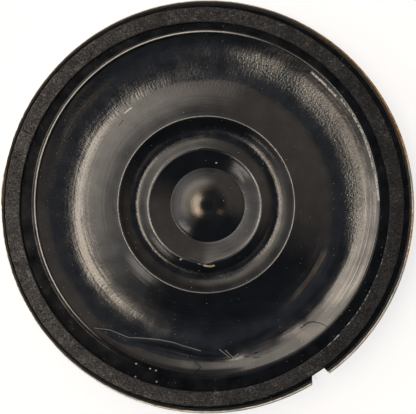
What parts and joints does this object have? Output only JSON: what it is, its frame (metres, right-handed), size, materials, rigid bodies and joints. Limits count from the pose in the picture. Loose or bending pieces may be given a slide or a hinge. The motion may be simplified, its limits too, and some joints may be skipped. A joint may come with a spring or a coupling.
{
  "type": "miniature speaker",
  "caption": "Flat round film-diaphragm speaker in a pressed steel frame, with a board gasket round the front, a notch in the lip and solder lands at the back.",
  "frame": {"origin": "middle of the yoke's back face, which is the bottom centre of the whole part", "axes": "+Z along the coil's travel, towards the front; +X to the right and +Y up, as the picture shows it"},
  "size_m": [0.04, 0.04, 0.0055],
  "materials": {
    "tinned_steel": "tin plate, dulled, with brown stain at the edge",
    "plated_steel": "zinc plate, satin",
    "magnet_plate": "nickel plate",
    "film": "moulded polyester film, glossy black",
    "gasket_board": "grey-brown fibre board with light flecks",
    "adhesive": "rubber adhesive, dark, cured",
    "magnet_adhesive": "acrylic adhesive, thin layer",
    "cloth": "woven damping cloth",
    "former_paper": "kraft paper tube",
    "enamelled_copper": "enamelled copper wire, glossy",
    "laminate": "paper laminate board",
    "brass_eyelet": "brass, rolled",
    "copper_land": "etched copper foil",
    "solder": "tin solder, bright"
  },
  "bodies": {
    "root": {"frame": "tinned_steel", "yoke": "plated_steel", "top_plate": "plated_steel", "magnet": "magnet_plate", "diaphragm_surround": "film", "gasket": "gasket_board", "film_adhesive": "adhesive", "gasket_adhesive": "adhesive", "yoke_glue_ring": "adhesive", "magnet_glue": "magnet_adhesive", "plate_glue": "magnet_adhesive", "vent_cloth": "cloth", "lead_wire_positive": "enamelled_copper", "lead_wire_negative": "enamelled_copper", "terminal_board": "laminate", "board_rivet": "brass_eyelet", "solder_pad_positive": "copper_land", "solder_pad_negative": "copper_land", "solder_joint_positive": "solder", "solder_joint_negative": "solder"},
    "moving_coil": {"diaphragm_dome": "film", "coil_former": "former_paper", "voice_coil": "enamelled_copper", "coil_glue": "adhesive"}
  },
  "joints": [
    {"name": "coil_travel", "type": "slide", "parent": "root", "child": "moving_coil", "axis": [0, 0, 1], "range_m": [-0.0004, 0.0004], "stiffness_N_per_m": 1000, "deforming": ["diaphragm_surround", "lead_wire_positive", "lead_wire_negative"]}
  ]
}
